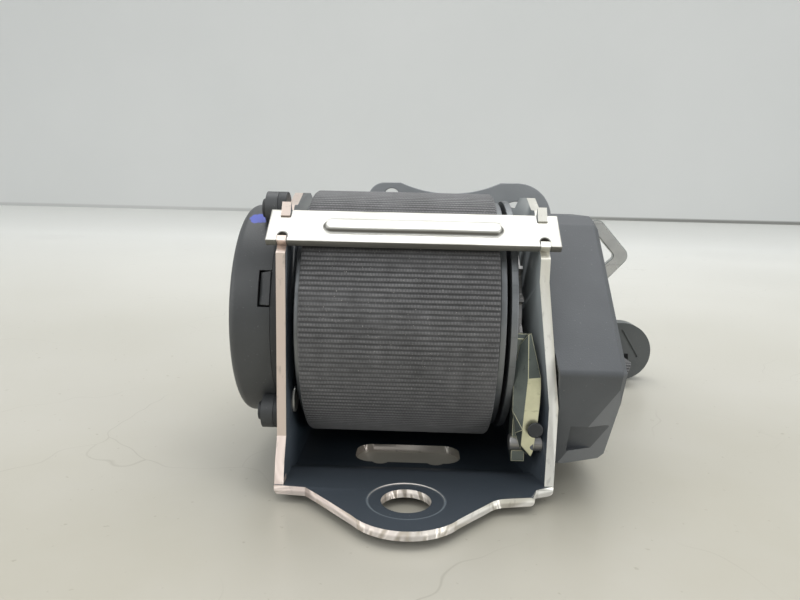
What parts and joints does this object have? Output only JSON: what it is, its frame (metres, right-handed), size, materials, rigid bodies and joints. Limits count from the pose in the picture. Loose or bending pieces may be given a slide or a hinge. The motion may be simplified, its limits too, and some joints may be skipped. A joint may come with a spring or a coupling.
{
  "type": "seat belt retractor",
  "caption": "Emergency-locking seat belt retractor: webbing roll in a pressed steel frame with bolt tab, spring cover, locking mechanism, tongue, pillar loop and anchor plate.",
  "frame": {"origin": "on the axis of the frame's bolt hole, level with the underside of the base plate, which lies on the surface", "axes": "+X along the spool axis towards the locking mechanism, +Y from the bolt tab to the webbing exit (up when installed), +Z square to the base plate, along the bolt hole"},
  "size_m": [0.1423, 0.1722, 0.0777],
  "materials": {
    "frame_paint": "glossy blue-black paint, bare cut edges",
    "zinc": "bright zinc plate",
    "die_cast": "as cast",
    "bar_steel": "turned, lightly oiled",
    "webbing": "ribbed polyester weave, charcoal",
    "bush_plastic": "natural acetal",
    "dark_plastic": "fine-grained black moulding",
    "grey_plastic": "fine-grained charcoal moulding",
    "spring_steel": "tempered blue-grey strip",
    "anchor_paint": "dark grey coating",
    "tongue_chrome": "polished plate"
  },
  "bodies": {
    "frame": {"frame": "frame_paint", "wall_rivet": "zinc", "tie_bar": "zinc", "left_bush": "bush_plastic", "right_bush": "bush_plastic", "spring_base": "dark_plastic", "spring_cover": "dark_plastic", "spring_rivet_1": "dark_plastic", "spring_rivet_2": "dark_plastic", "spring_rivet_3": "dark_plastic", "mainspring": "spring_steel", "pawl_pin": "bar_steel", "pawl_return_spring": "spring_steel", "mechanism_base": "grey_plastic", "mechanism_cover": "grey_plastic", "mechanism_screw_1": "zinc", "mechanism_screw_2": "zinc", "mechanism_screw_3": "zinc", "sensor_housing": "bush_plastic", "lever_pin": "bar_steel", "webbing_guide": "dark_plastic", "webbing_lead": "webbing", "webbing_bundle": "webbing", "webbing_end": "webbing", "webbing_tail": "webbing", "stop_button": "dark_plastic", "stop_button_back": "dark_plastic"},
    "spool": {"spool": "die_cast", "torsion_bar": "bar_steel", "webbing_roll": "webbing", "webbing_pin": "bar_steel", "ratchet_ring": "bar_steel", "spring_arbor": "bush_plastic", "lock_gear": "bush_plastic", "inertia_spring": "spring_steel"},
    "pawl": {"lock_pawl": "zinc", "pawl_knob": "dark_plastic"},
    "inertia_disc": {"inertia_disc": "die_cast"},
    "ball": {"sensor_ball": "bar_steel"},
    "lever": {"sensor_lever": "bush_plastic"},
    "anchor": {"anchor_plate": "anchor_paint"},
    "tongue": {"tongue_plate": "tongue_chrome", "tongue_body": "dark_plastic", "webbing_run": "webbing"},
    "pillar_loop": {"pillar_plate": "bar_steel", "pillar_cover": "dark_plastic"}
  },
  "joints": [
    {"name": "spool_spin", "type": "hinge", "parent": "frame", "child": "spool", "pos_m": [0, 0.0405, 0.041], "axis": [1, 0, 0], "continuous": true},
    {"name": "pawl_pivot", "type": "hinge", "parent": "frame", "child": "pawl", "pos_m": [0.027, 0.014, 0.0135], "axis": [1, 0, 0], "range_deg": [-7, 0], "stiffness_Nm_per_rad": 0.02, "springref_deg": 8.59},
    {"name": "inertia_disc_turn", "type": "hinge", "parent": "spool", "child": "inertia_disc", "pos_m": [0.04, 0.0405, 0.041], "axis": [1, 0, 0], "range_deg": [0, 18], "stiffness_Nm_per_rad": 0.002, "springref_deg": -5.73},
    {"name": "ball_lift", "type": "slide", "parent": "frame", "child": "ball", "axis": [0, 1, 0], "range_m": [0, 0.001]},
    {"name": "lever_lift", "type": "hinge", "parent": "frame", "child": "lever", "pos_m": [0.042, 0.02345, 0.0205], "axis": [1, 0, 0], "range_deg": [-7.5, 0]},
    {"name": "anchor_tilt", "type": "hinge", "parent": "frame", "child": "anchor", "pos_m": [-0.00192, 0.07885, 0.04881], "axis": [-0.4407, 0, 0.8977], "range_deg": [-1.5, 1.5]},
    {"name": "tongue_slide", "type": "slide", "parent": "frame", "child": "tongue", "axis": [1, 0, 0], "range_m": [-0.006, 0.006]},
    {"name": "pillar_loop_slide", "type": "slide", "parent": "frame", "child": "pillar_loop", "axis": [0, 1, 0], "range_m": [-0.006, 0.004]}
  ],
  "couplings": [
    {"joint": "lever_lift", "follows": "ball_lift", "rad_per_m": -115}
  ]
}
